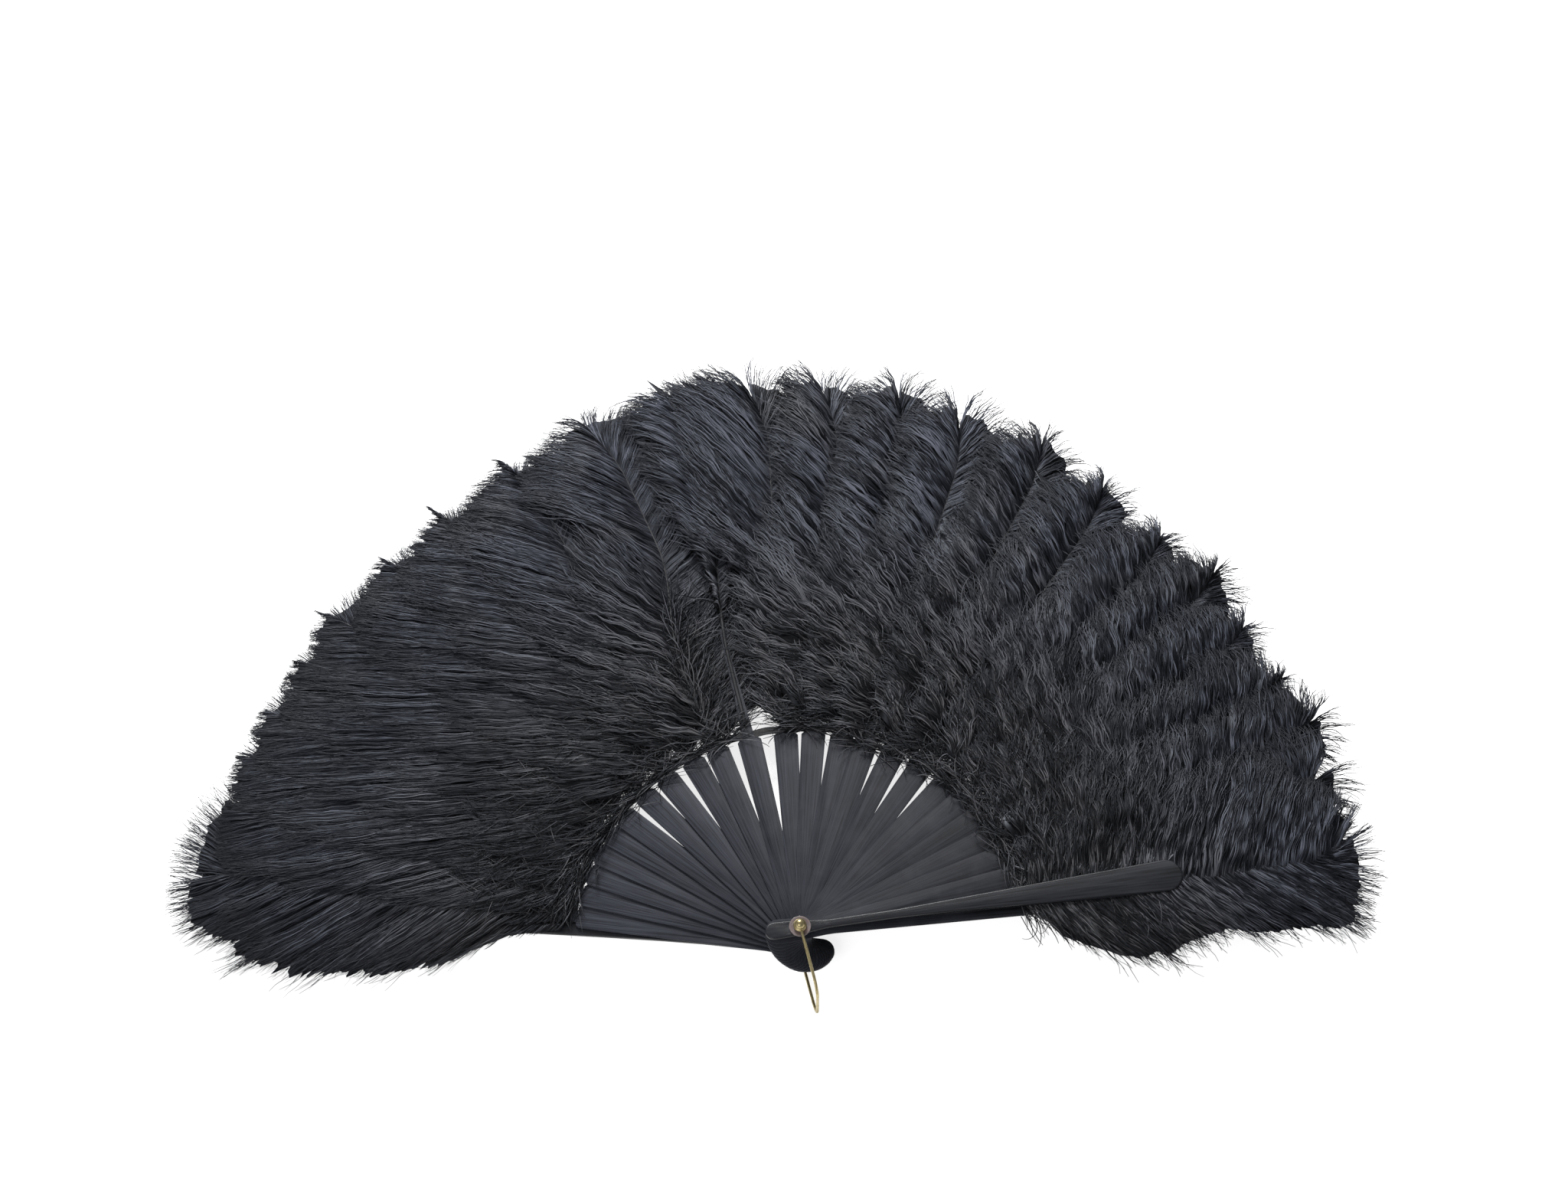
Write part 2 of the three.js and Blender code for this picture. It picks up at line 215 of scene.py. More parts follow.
ARCH = ([5, 10, 17, 20], [1.2, 4.0, 4.2, 3.0])
LEFT_DROP = ([8, 11, 12, 13, 15, 20, 22], [18, 18, 8, 22, 34, 34, 24])
RIGHT_DROP = ([8, 10, 16, 23, 24, 25], [8, 16, 34, 34, 8, 5])
FLUFF = ([7, 10], [400, 500])
FLUFF_FIRST = ([0, 1, 2, 4, 6, 14, 15], [0.06, -0.01, -0.015, -0.02, -0.025, -0.02, -0.055])
LIGHT_FLUFF = ([4, 9], [0.12, 0.32])
FLUFF_ACROSS = {arm: (-7, 7) for arm in (*range(1, 10), *range(17, LAST_ARM))}
FLUFF_ACROSS |= {10: (-14, 2), 12: (-9, -1)}
WEB_FILL = ([5, 10, 16], [1.03, 1.0, 0.97])
# Painted light and shade by arm: the barbs of the upper arms are painted lighter, those of the left and
# the lower right darker
PAINTED_LIGHT_BY_ARM = ([0, 3, 8, 14, 18, 23, 24], [0.9, 0.91, 1.13, 1.25, 0.95, 0.79, 0.95])
# Painted shade near the roots: barbs are painted darker where they lie deep among the others by the
# rivet
PAINTED_ROOT_SHADE = ([0.0, 0.4], [0.72, 1.0])
CONTRAST = ([0, 3, 5, 7, 12], [1.0, 0.85, 0.65, 0.75, 1.2])
CONTRAST_ALONG = ([0.4, 0.65], [1.5, 1.0])
STREAK = ([4, 7, 12], [0.25, 0.35, 0.5])
# Painted glints: how strongly each barb's tint waxes and wanes along it, standing for highlights
GLINT = ([5, 12, 18], [0.1, 0.19, 0.24])
STOUTNESS = ([6, 13], [0.95, 1.15])
BREADTH = ([6, 8, 11, 12], [1.0, 1.15, 1.15, 1.0])

# What sets single plumes apart: the ones beside the widest gap, and those that the guards hold
LEAN_OVER = {10: -15, 11: -7}
NARROW = {11: 0.4}
BARE_QUILL = {11: 0.36}
QUILL_FADE = 0.2
QUILL_SHORTEST = 0.15
CLEAR_OF_TONGUE = {12: 0.36}
CLEAR_REACH = ([0.0, 0.12, 0.25, 0.36], [22, 29, 34.5, 39])
PRESSED = {10: 0.25}
UNDER_TONGUE = {10: ([0.0, 0.3], [2.1, 1.0])}
RIGHT_SIDE_SHOWN = (10, LAST_ARM)
GUARD_STOP = 0.47


def node_points(node):
    """The corners of a solid, in millimetres."""
    mesh = frame["nodes"][node].data
    flat = np.empty(3 * len(mesh.vertices))
    mesh.vertices.foreach_get("co", flat)
    return flat.reshape(-1, 3) / MM


def at(stops, place):
    """The value of a pair of stop lists at a place."""
    return np.interp(place, *stops)


class Plume:
    """Where one plume's solid lies, and how its barbs are combed, trimmed and ruffled."""

    def __init__(self, arm):
        points = node_points(PLUMES[arm])
        radius = np.hypot(points[:, 0], points[:, 1])
        tip = points[radius.argmax()]
        self.arm = arm
        self.angle = math.atan2(tip[1], tip[0])
        self.root = radius.min()
        self.length = radius.max() - self.root
        self.run = self.length - TIP_TUFT
        self.level = points[:, 2].mean()
        self.chance = np.random.default_rng(100 + arm)
        self.comb = {1: at(COMB, math.degrees(self.angle)), -1: RIGHT_COMB}
        self.ruffle = at(TOUSLE, arm)
        self.ruffled = self.ruffle > RUFFLED
        self.sweep = self.chance.uniform(-SWEEP, SWEEP)
        self.lean_over = LEAN_OVER.get(arm, 0)
        self.hook = at(HOOK, arm)
        self.crown = at(CROWN, arm)
        self.trim = self.length + at(TRIM, arm) + self.chance.normal(0, TRIM_STRAY)
        self.fray = FRAY * self.ruffle
        self.fray_turn = self.chance.uniform(0, 2 * np.pi)
        self.arch = at(ARCH, arm)
        self.left_drop = at(LEFT_DROP, arm)
        self.right_drop = at(RIGHT_DROP, arm)
        self.bare = BARE_QUILL.get(arm, 0)
        self.held = arm >= LAST_ARM - 1
        self.half_width = DOME_HALF_WIDTH * at(BREADTH, arm)
        self.stoutness = at(STOUTNESS, arm)

    def tousle(self, share):
        """How ruffled the barbs are: most near the root, and on the right of the fan."""
        return self.ruffle * (at(TOUSLE_ALONG, share) if self.ruffled else 1)

    def shaft(self, share):
        """Points of the shaft as along, across (to the left) and up, with its heading in radians."""
        end = np.clip((share - HOOK_FROM) / HOOK_SPAN, 0, 1)
        lean = np.clip((share - LEAN_FROM) / LEAN_SPAN, 0, 1)
        across = self.sweep * share**2 + self.hook * end**2
        across = across + self.lean_over * lean**2 * (3 - 2 * lean)
        slope = (2 * self.sweep * share + self.hook * (2 / HOOK_SPAN) * end) / self.run
        slope = slope + self.lean_over * (6 / LEAN_SPAN) * lean * (1 - lean) / self.run
        up = SHAFT_ARCH * np.sin(np.pi * np.clip(share, 0, 1)) + HOOK_RISE * end**2
        return self.run * share, across, up, np.arctan(slope)

    def dome(self, across):
        """How far along the plume its trimmed outline lies."""
        centre = self.crown + self.lean_over
        off = (across - centre) / self.half_width
        drop = np.where(off > 0, self.left_drop, self.right_drop)
        return self.trim - drop * off**2 + self.fray * np.sin(FRAY_RATE * across + self.fray_turn)

    def place(self, along, across, up):
        """World points, in metres, of points given along, across and above the plume."""
        radius = self.root + along
        x = radius * math.cos(self.angle) - across * math.sin(self.angle)
        y = radius * math.sin(self.angle) + across * math.cos(self.angle)
        return np.stack([x, y, np.broadcast_to(self.level + up, x.shape)], axis=-1) * MM


def course(heading, reach):
    """Steps along and across of barbs that set out at each heading, in radians at each step."""
    stride = (reach / BARB_STEPS)[:, None]
    start = np.zeros((len(reach), 1))
    along = np.concatenate([start, np.cumsum(stride * np.cos(heading), axis=1)], axis=1)
    across = np.concatenate([start, np.cumsum(stride * np.sin(heading), axis=1)], axis=1)
    return along, across


STEP = np.linspace(0, 1, BARB_STEPS + 1)
MID_STEP = (STEP[1:] + STEP[:-1]) / 2


class Locks:
    """How the locks and the finer clumps of one half vane stray from an even lie."""

    def __init__(self, chance):
        self.lock_lean = chance.normal(0, LOCK_LEAN, LOCKS)
        self.lock_rise = chance.normal(0, LOCK_RISE, LOCKS)
        self.lock_reach = chance.normal(0, 1, LOCKS)
        self.lock_tint = chance.uniform(0, 1, LOCKS)
        self.clump_lean = chance.normal(0, CLUMP_LEAN, CLUMPS)
        self.clump_reach = chance.normal(0, 1, CLUMPS)
        self.clump_rise = chance.normal(0, CLUMP_RISE, CLUMPS)
        self.clump_tint = chance.uniform(0, 1, CLUMPS)
        self.clump_wave = chance.uniform(0, 2 * np.pi, CLUMPS)

    @staticmethod
    def between(values, share):
        """The locks' values at places along the shaft, with even change from lock to lock."""
        return np.interp(share * LOCKS - 0.5, np.arange(LOCKS), values)

    def lean(self, share):
        return self.between(self.lock_lean, share)

    def rise(self, share):
        return self.between(self.lock_rise, share)

    def tint(self, share):
        return self.between(self.lock_tint, share)


def vane_reach(plume, side, share):
    """Length of the barbs of one half vane before they are trimmed."""
    fullness = at(FULLNESS, plume.arm)
    if side < 0 and plume.arm not in RIGHT_SIDE_SHOWN:
        fullness = min(fullness, RIGHT_FULLNESS)
    reach = at(BARB_REACH, share) * fullness
    if side > 0 and plume.arm < 2:
        reach = at(BARB_REACH, share) * at(LEFT_EDGE_REACH, share)
    if side < 0 and plume.held:
        reach = at(BARB_REACH, share) * at(RIGHT_EDGE_REACH, share)
    if side < 0 and plume.arm in UNDER_TONGUE:
        reach = reach * at(UNDER_TONGUE[plume.arm], share)
    if side > 0 and PANEL_FROM <= plume.arm < LAST_ARM:
        reach = reach * at(PANEL, share)
    if side > 0 and plume.arm in NARROW:
        reach = reach * NARROW[plume.arm]
    if plume.bare:
        reach = reach * np.clip((share - plume.bare) / QUILL_FADE, QUILL_SHORTEST, 1)
    if side > 0 and plume.arm in CLEAR_OF_TONGUE:
        clear = share < CLEAR_OF_TONGUE[plume.arm]
        reach = np.where(clear, np.minimum(reach, at(CLEAR_REACH, share)), reach)
    return reach


def trimmed(plume, along, across, heading, gather, reach, ragged):
    """Barb lengths, cut where the barbs would pass the plume's trimmed outline."""
    run, drift = course(heading, reach)
    past = along[:, None] + run + gather - plume.dome(across[:, None] + drift) - ragged[:, None]
    first = np.argmax(past > 0, axis=1)[:, None]
    crossing = np.take_along_axis(past, first, axis=1)[:, 0]
    before = np.take_along_axis(past, np.maximum(first - 1, 0), axis=1)[:, 0]
    stop = (first[:, 0] - crossing / np.maximum(crossing - before, 1e-6)) / BARB_STEPS
    return np.where(past.max(axis=1) > 0, reach * np.clip(stop, 0.1, 1), reach)


def vane_lift(plume, side, share, rise):
    """Height of barbs over the shaft: arched on the left, pressed down on the right."""
    if side > 0:
        lift = (plume.arch + rise[:, None]) * np.sin(np.pi * STEP**ARCH_SKEW) + LEFT_TIP_RISE * STEP
    else:
        height = PRESSED.get(plume.arm, 1) * (RIGHT_ARCH + RIGHT_LOCK_RISE * rise[:, None])
        lift = height * np.sin(np.pi * STEP) - RIGHT_TIP_FALL * STEP
    # Barbs that set out under the front guard keep low until they are clear of it
    low = (share < GUARD_STOP * plume.held)[:, None]
    return np.where(low, lift * np.clip(2 * STEP - 0.7, 0, 1) - HELD_TIP_FALL * STEP, lift)


def vane_barbs(plume, side, locks):
    """Centre lines (barb, step, 3), widths and tints, with painted light and shade, of one half vane.
    Side is 1 on the left.
    """
    chance = plume.chance
    shown = side > 0 or plume.arm in RIGHT_SIDE_SHOWN
    count = BARBS_SHOWN if shown else BARBS_COVERED
    even = (np.arange(count) + chance.uniform(0, 1, count)) / count
    share = plume.bare + (1 - plume.bare) * even
    tousle = plume.tousle(share) * np.ones(count)
    clump = np.floor(share * CLUMPS + chance.normal(0, CLUMP_MIXING, count)).astype(int)
    clump = np.clip(clump, 0, CLUMPS - 1)
    stray = locks.lean(share) + locks.clump_lean[clump] + chance.normal(0, LEAN_STRAY, count)
    lean = plume.comb[side] * at(BARB_LEAN, share) + tousle * stray
    bend = at(BARB_BEND, share) + tousle * chance.normal(0, BEND_STRAY, count)
    curl = tousle * chance.normal(0, CURL_STRAY, count)
    roll = at(RIM_CURL, share) * plume.ruffled * chance.normal(1, ROLL_STRAY, count)
    lock = np.clip((share * LOCKS).astype(int), 0, LOCKS - 1)
    reach = vane_reach(plume, side, share) * chance.normal(1, REACH_STRAY, count)
    reach = reach * (1 + CLUMP_REACH * locks.clump_reach[clump] + LOCK_REACH * locks.lock_reach[lock])
    phase = locks.clump_wave[clump][:, None] + 2 * np.pi * MID_STEP * reach[:, None] / WAVE_LENGTH
    wave = WAVE_SWING * np.minimum(tousle, WAVE_LIMIT)[:, None] * np.sin(phase)

    along, across, up, heading = plume.shaft(share)
    turn = lean[:, None] - bend[:, None] * MID_STEP + curl[:, None] * MID_STEP**5 + wave
    turn = turn + roll[:, None] * MID_STEP**2
    heading = heading[:, None] + side * np.radians(turn)
    middle = (clump + 0.5) / CLUMPS
    gather = (middle - share)[:, None] * plume.run * CLUMP_GATHER * STEP**2
    ragged = RAGGED_BARB * chance.normal(0, 1, count) + RAGGED_CLUMP * locks.clump_reach[clump]
    ragged = plume.ruffle * ragged
    reach = trimmed(plume, along, across, heading, gather, reach, ragged)
    run, drift = course(heading, reach)

    lift = vane_lift(plume, side, share, locks.rise(share) + locks.clump_rise[clump])
    lift = lift + chance.uniform(*LOOSE_RISE, count)[:, None] * np.minimum(1, 4 * STEP)
    line = plume.place(along[:, None] + run + gather, across[:, None] + drift, up[:, None] + lift)
    streak = at(STREAK, plume.arm)
    tint = streak * locks.clump_tint[clump] + LOCK_STREAK * locks.tint(share)
    tint = tint + (1 - LOCK_STREAK - streak) * chance.uniform(0, 1, count)
    tint = 0.5 + (tint - 0.5) * at(CONTRAST, plume.arm) * at(CONTRAST_ALONG, share)
    # Painted light and shade: lighter on the upper arms, darker at the sides and near the roots
    tint = tint * at(PAINTED_LIGHT_BY_ARM, plume.arm) * at(PAINTED_ROOT_SHADE, share)
    # A painted glint: the tint waxes and wanes along each barb as if it caught the light
    phase = locks.clump_wave[clump] + chance.normal(0, GLINT_STRAY, count)
    glint = np.sin(phase[:, None] + 2 * np.pi * STEP * reach[:, None] / GLINT_LENGTH)
    tint = tint[:, None] + at(GLINT, plume.arm) * glint
    return line, plume.stoutness * BARB_WIDTH * chance.uniform(*BARB_WIDTH_SHARE, count), tint


def vane_web(plume, side, locks):
    """Points (row, step, 3) of a close web of barbules under the barbs of one half vane."""
    share = np.linspace(plume.bare, 1, WEB_ROWS)
    lean = plume.comb[side] * at(BARB_LEAN, share) + plume.ruffle * locks.lean(share)
    along, across, up, heading = plume.shaft(share)
    turn = lean[:, None] - at(BARB_BEND, share)[:, None] * MID_STEP
    turn = turn + (at(RIM_CURL, share) * plume.ruffled)[:, None] * MID_STEP**2
    heading = heading[:, None] + side * np.radians(turn)
    reach = vane_reach(plume, side, share)
    reach = trimmed(plume, along, across, heading, 0, reach, np.zeros(WEB_ROWS))
    reach = reach * at(WEB_STOP, share) * at(WEB_FILL, plume.arm)
    if side < 0 and plume.arm not in RIGHT_SIDE_SHOWN:
        reach = reach * at(COVERED_WEB, share)
    ragged = WEB_RAGGED * plume.ruffle * (1 if side > 0 else COVERED_RAGGED)
    run, drift = course(heading, reach * plume.chance.normal(1, ragged, WEB_ROWS))
    lift = vane_lift(plume, side, share, locks.rise(share)) - WEB_BELOW
    return plume.place(along[:, None] + run, across[:, None] + drift, up[:, None] + lift)


def root_fluff(plume):
    """Short loose barbs round the root of the shaft."""
    chance = plume.chance
    count = BARE_FLUFF if plume.bare else int(at(FLUFF, plume.arm))
    stop = SMOOTH_FLUFF_STOP if plume.ruffle < RUFFLED else RUFFLED_FLUFF_STOP
    first = at(FLUFF_FIRST, plume.arm)
    share = plume.bare + first + (stop - first) * chance.uniform(0, 1, count) ** FLUFF_CROWDING
    side = chance.choice([-1, 1], count)
    if plume.arm < 2:
        side = np.full(count, -1)
    along, across, up, heading = plume.shaft(share)
    low, high = FLUFF_ACROSS.get(plume.arm, (0, 0))
    across = across + np.where(share < 0.03, chance.uniform(low, high, count), 0)
    lean = chance.uniform(*FLUFF_LEAN, count)
    if not plume.held:
        lean = lean + np.where(share < 0.05, chance.uniform(*FLUFF_SPLAY, count), 0)
    curl = chance.normal(FLUFF_CURL, FLUFF_CURL_STRAY * min(1, plume.ruffle), count)
    turn = lean[:, None] + curl[:, None] * MID_STEP**2
    heading = heading[:, None] + side[:, None] * np.radians(turn)
    reach = chance.uniform(*FLUFF_REACH, count) + FLUFF_GROWTH * np.clip(share, 0, 0.2)
    if plume.arm in CLEAR_OF_TONGUE:
        reach = np.where(side > 0, FLUFF_BESIDE_TONGUE * reach, reach)
    run, drift = course(heading, reach)
    rise = chance.uniform(*FLUFF_RISE, count) * (HELD_FLUFF_RISE if plume.arm > LAST_ARM - 3 else 1)
    line = plume.place(
        along[:, None] + run,
        across[:, None] + drift,
        up[:, None] + rise[:, None] * np.sin(np.pi * 0.7 * STEP),
    )
    light = chance.uniform(0, 1, count) < at(LIGHT_FLUFF, plume.arm)
    tint = np.where(light, chance.uniform(*LIGHT_TINT, count), chance.uniform(*DARK_TINT, count))
    tint = np.repeat(tint[:, None], len(STEP), axis=1)
    return line, plume.stoutness * BARB_WIDTH * chance.uniform(*FLUFF_WIDTH_SHARE, count), tint


def unit(vectors):
    """The vectors brought to a length of one."""
    return vectors / np.maximum(np.linalg.norm(vectors, axis=-1, keepdims=True), 1e-12)


def barb_sheet(line, width, chance):
    """Points (barb, step, 3 across, 3) of folded strips along the centre lines."""
    tangent = unit(np.gradient(line, axis=1))
    roll = chance.normal(0, BARB_ROLL, len(line))[:, None, None]
    level = unit(np.cross(tangent, [0.0, 0.0, 1.0]))
    crown = np.cross(level, tangent)
    flat = level * np.cos(roll) + crown * np.sin(roll)
    ridge = crown * np.cos(roll) - level * np.sin(roll)
    step = np.linspace(0, 1, line.shape[1])
    half = (width[:, None] * (1 - BARB_TAPER * step**3))[:, :, None] * MM / 2
    return np.stack([line - flat * half, line + ridge * half * BARB_RIDGE, line + flat * half], axis=2)


def shaft_tube(plume):
    """Points (step, side, 3) of the tapering shaft, closed at both ends."""
    share = np.linspace(0, 1, SHAFT_STEPS + 1)
    along, across, up, _ = plume.shaft(share)
    radius = SHAFT_RADIUS[0] + (SHAFT_RADIUS[1] - SHAFT_RADIUS[0]) * share
    radius[[0, -1]] = SHAFT_END_RADIUS
    turn = np.linspace(0, 2 * math.pi, SHAFT_SIDES, endpoint=False)
    side = across[:, None] + radius[:, None] * np.cos(turn)
    height = up[:, None] + SHAFT_FLATNESS * radius[:, None] * np.sin(turn)
    return plume.place(np.broadcast_to(along[:, None], side.shape), side, height)


def mesh_from(name, points, quads):
    """A smooth mesh of quads."""
    mesh = bpy.data.meshes.new(name)
    mesh.vertices.add(len(points))
    mesh.vertices.foreach_set("co", np.ascontiguousarray(points, dtype=np.float32).ravel())
    mesh.loops.add(quads.size)
    mesh.loops.foreach_set("vertex_index", quads.ravel().astype(np.int32))
    mesh.polygons.add(len(quads))
    mesh.polygons.foreach_set("loop_start", np.arange(0, quads.size, 4, dtype=np.int32))
    mesh.polygons.foreach_set("use_smooth", np.full(len(quads), True))
    mesh.update(calc_edges=True)
    return mesh


def grid_quads(rows, columns, wrap=False):
    """Quads of one grid of points, row by row."""
    across = columns if wrap else columns - 1
    row, column = np.meshgrid(np.arange(rows - 1), np.arange(across), indexing="ij")
    following = (column + 1) % columns
    corners = [
        row * columns + column,
        row * columns + following,
        (row + 1) * columns + following,
        (row + 1) * columns + column,
    ]
    return np.stack(corners, axis=-1).reshape(-1, 4)


def add_piece(name, mesh, body, slot, node, *finishes):
    """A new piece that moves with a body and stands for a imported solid."""
    for finish in finishes:
        mesh.materials.append(finish)
    piece = bpy.data.objects.new(name, mesh)
    bpy.context.collection.objects.link(piece)
    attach(piece, body)
    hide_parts(node)
    return piece


def grow_plume(arm, barb_finish, shaft_finish):
    """One plume: barbs, root fluff, both webs and the shaft in one mesh."""
    plume = Plume(arm)
    left, right = Locks(plume.chance), Locks(plume.chance)
    parts = [vane_barbs(plume, 1, left), vane_barbs(plume, -1, right), root_fluff(plume)]
    line = np.concatenate([part[0] for part in parts])
    width = np.concatenate([part[1] for part in parts])
    tint = np.concatenate([part[2] for part in parts])
    barbs = len(line)
    sheet = barb_sheet(line, width, plume.chance)
    rows, columns = sheet.shape[1:3]
    barb_starts = np.arange(barbs) * rows * columns
    barb_quads = grid_quads(rows, columns)[None] + barb_starts[:, None, None]

    # Each patch of the plume: points, quads, tints, ways along the barb, places on the map, finish
    step = np.linspace(0, 1, rows)
    per_row = math.ceil(barbs / MAP_ROWS)
    cell = np.arange(barbs)
    cell_width, cell_height = MAP_BARBS / per_row, 1 / MAP_ROWS
    u = (cell % per_row * cell_width)[:, None, None] + cell_width * (0.2 + 0.3 * np.arange(columns))
    v = (cell // per_row * cell_height)[:, None, None]
    v = v + cell_height * (0.05 + 0.9 * step)[None, :, None]
    patches = [(
        sheet.reshape(-1, 3),
        barb_quads.reshape(-1, 4),
        np.repeat(tint.ravel(), columns),
        np.tile(np.repeat(step, columns), barbs),
        np.stack(np.broadcast_arrays(u, v), axis=-1).reshape(-1, 2),
        0,
    )]
    grids = [(vane_web(plume, 1, left), 0, False), (vane_web(plume, -1, right), 0, False)]
    grids.append((shaft_tube(plume), 1, True))
    for order, (grid, slot, wrap) in enumerate(grids):
        down, across = grid.shape[:2]
        edge = MAP_BARBS + (1 - MAP_BARBS) * (order + 0.1) / len(grids)
        breadth = 0.8 * (1 - MAP_BARBS) / len(grids)
        u, v = np.meshgrid(edge + breadth * np.linspace(0, 1, across), np.linspace(0.01, 0.99, down))
        patches.append((
            grid.reshape(-1, 3),
            grid_quads(down, across, wrap),
            np.full(down * across, WEB_SHADE_TINT),
            np.tile(np.linspace(0, WEB_RUN, across), down),
            np.stack([u, v], axis=-1).reshape(-1, 2),
            slot,
        ))
    starts = np.cumsum([0] + [len(patch[0]) for patch in patches])
    quads = np.concatenate([patch[1] + start for patch, start in zip(patches, starts)])
    name = f"feather_{arm:02d}"
    mesh = mesh_from(name, np.concatenate([patch[0] for patch in patches]), quads)
    for label, index in (("barb_tone_and_painted_light", 2), ("barb_run", 3)):
        values = np.concatenate([patch[index] for patch in patches]).astype(np.float32)
        mesh.attributes.new(label, "FLOAT", "POINT").data.foreach_set("value", values)
    places = np.concatenate([patch[4] for patch in patches])
    corners = places[quads].astype(np.float32).ravel()
    mesh.uv_layers.new(name="OFBake").data.foreach_set("uv", corners)
    slots = np.concatenate([np.full(len(patch[1]), patch[5]) for patch in patches])
    mesh.polygons.foreach_set("material_index", slots.astype(np.int32))
    node = PLUMES[arm]
    piece = add_piece(name, mesh, BODY_OF[node], "plume", node, barb_finish, shaft_finish)
    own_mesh(piece)


# Wood: how far the edges of the sticks and of the guards are rounded, in millimetres, and the segments
STICK_EASE = (0.14, 2)
GUARD_EASE = (0.45, 3)
SHARP = math.radians(20)
FLAT = math.radians(1)
MERGED = 0.005 * MM


def ease_wood(node, ease, finish):
    """A copy of a wooden solid with rounded edges."""
    block = bmesh.new()
    block.from_mesh(frame["nodes"][node].data)
    bmesh.ops.remove_doubles(block, verts=block.verts, dist=MERGED)
    bmesh.ops.dissolve_limit(block, angle_limit=FLAT, verts=block.verts, edges=block.edges)
    mesh = bpy.data.meshes.new(f"{node}_wood")
    block.to_mesh(mesh)
    block.free()
    mesh.polygons.foreach_set("use_smooth", [True] * len(mesh.polygons))
    piece = add_piece(mesh.name, mesh, BODY_OF[node], "ebonised_wood", node, finish)
    width, segments = ease
    bevel = piece.modifiers.new("eased_edges", "BEVEL")
    bevel.width = width * MM
    bevel.segments = segments
    bevel.limit_method = "ANGLE"
    bevel.angle_limit = SHARP
    bevel.harden_normals = True


# Ribbon: sizes in millimetres
RIBBON_THICKNESS = 0.2
TONGUE_HALF_WIDTH = 3.2
RIBBON_STEPS = 14
RIBBON_SAG = 0.5
RIBBON_TUCK = 0.75


def tie_ribbon(finish):
    """Links of the ribbon from stick to stick. Each moves with the stick it starts from."""
    points = node_points("link_ribbon")
    radius = np.hypot(points[:, 0], points[:, 1])
    inner, outer = radius.min() - RIBBON_TUCK, radius.max()
    arms = [Plume(arm) for arm in range(1, LAST_ARM)]
    low = points[:, 2].min()
    climb = (points[:, 2].max() - RIBBON_THICKNESS - low) / (len(arms) - 1)
    rest = TONGUE_HALF_WIDTH / inner
    for order, (arm, following) in enumerate(zip(arms, arms[1:])):
        share = np.linspace(0, 1, RIBBON_STEPS)
        angle = arm.angle + (following.angle - arm.angle) * share
        span = arm.angle - following.angle
        rise = np.clip((share * span - rest) / (span - 2 * rest), 0, 1)
        height = low + climb * (order + rise)
        slack = RIBBON_SAG * np.sin(np.pi * rise)
        rows = []
        lower, upper = 0, RIBBON_THICKNESS
        for reach, lift in ((inner, lower), (outer, lower), (outer, upper), (inner, upper)):
            far = reach + slack
            rows.append(np.stack([far * np.cos(angle), far * np.sin(angle), height + lift], axis=-1))
        grid = np.stack(rows, axis=1) * MM
        last = 4 * (RIBBON_STEPS - 1)
        ends = np.array([[3, 2, 1, 0], [last, last + 1, last + 2, last + 3]])
        quads = np.concatenate([grid_quads(RIBBON_STEPS, 4, wrap=True), ends])
        name = f"ribbon_link_{arm.arm:02d}"
        mesh = mesh_from(name, grid.reshape(-1, 3), quads)
        mesh.polygons.foreach_set("use_smooth", [False] * len(quads))
        body = BODY_OF[STICKS[order]]
        link = add_piece(name, mesh, body, "silk", "link_ribbon", finish)
        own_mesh(link)


# Metal and pearl: sizes in millimetres
TURN_SIDES = 64
TURNED_SHARP = math.radians(40)
WASHER_EDGE = 0.25
WASHER_RECESS = 0.08
RECESS_SHARES = (0.8, 0.78)
KNOB_RIM = 0.9
DOME_SHARE = 0.86
AXIS_GAP = 0.001
WIRE_RADIUS = 0.8
WIRE_SIDES = 16
EYE_RADIUS = 2.65
EYE_STEPS = 48
LOOP_CORNER = 9
CORNER_STEPS = 14


def turned(name, profile, node, slot, finish):
    """A piece turned on the rivet's axis from a closed profile of radius and height."""
    profile = np.array(profile + profile[:1])
    turn = np.linspace(0, 2 * math.pi, TURN_SIDES, endpoint=False)
    x = profile[:, 0][:, None] * np.cos(turn)
    y = profile[:, 0][:, None] * np.sin(turn)
    z = np.broadcast_to(profile[:, 1][:, None], x.shape)
    points = np.stack([x, y, z], axis=-1)
    quads = grid_quads(len(profile), TURN_SIDES, wrap=True)
    mesh = mesh_from(name, points.reshape(-1, 3) * MM, quads)
    block = bmesh.new()
    block.from_mesh(mesh)
    bmesh.ops.remove_doubles(block, verts=block.verts, dist=MERGED)
    bmesh.ops.recalc_face_normals(block, faces=block.faces)
    block.to_mesh(mesh)
    block.free()
    mesh.set_sharp_from_angle(angle=TURNED_SHARP)
    add_piece(name, mesh, BODY_OF[node], slot, node, finish)


def arc(centre, radius, start, end, steps=8):
    """Points of an arc in a profile, with angles in degrees."""
    turn = np.radians(np.linspace(start, end, steps))
    return [(centre[0] + radius * math.cos(a), centre[1] + radius * math.sin(a)) for a in turn]


def turn_washer(node, finish):
    """A washer with round edges and a shallow recess in its upper face."""
    low, high = np.array(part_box(node)) / MM
    radius, bore = high[0], np.hypot(*node_points(node)[:, :2].T).min()
    edge, top = WASHER_EDGE, high[2]
    outer, inner = (share * radius for share in RECESS_SHARES)
    profile = [(bore, low[2]), *arc((radius - edge, low[2] + edge), edge, -90, 0)]
    profile += arc((radius - edge, top - edge), edge, 0, 90)
    profile += [(outer, top), (inner, top - WASHER_RECESS), (bore, top - WASHER_RECESS)]
    turned(f"{node}_disc", profile, node, "pearl", finish)


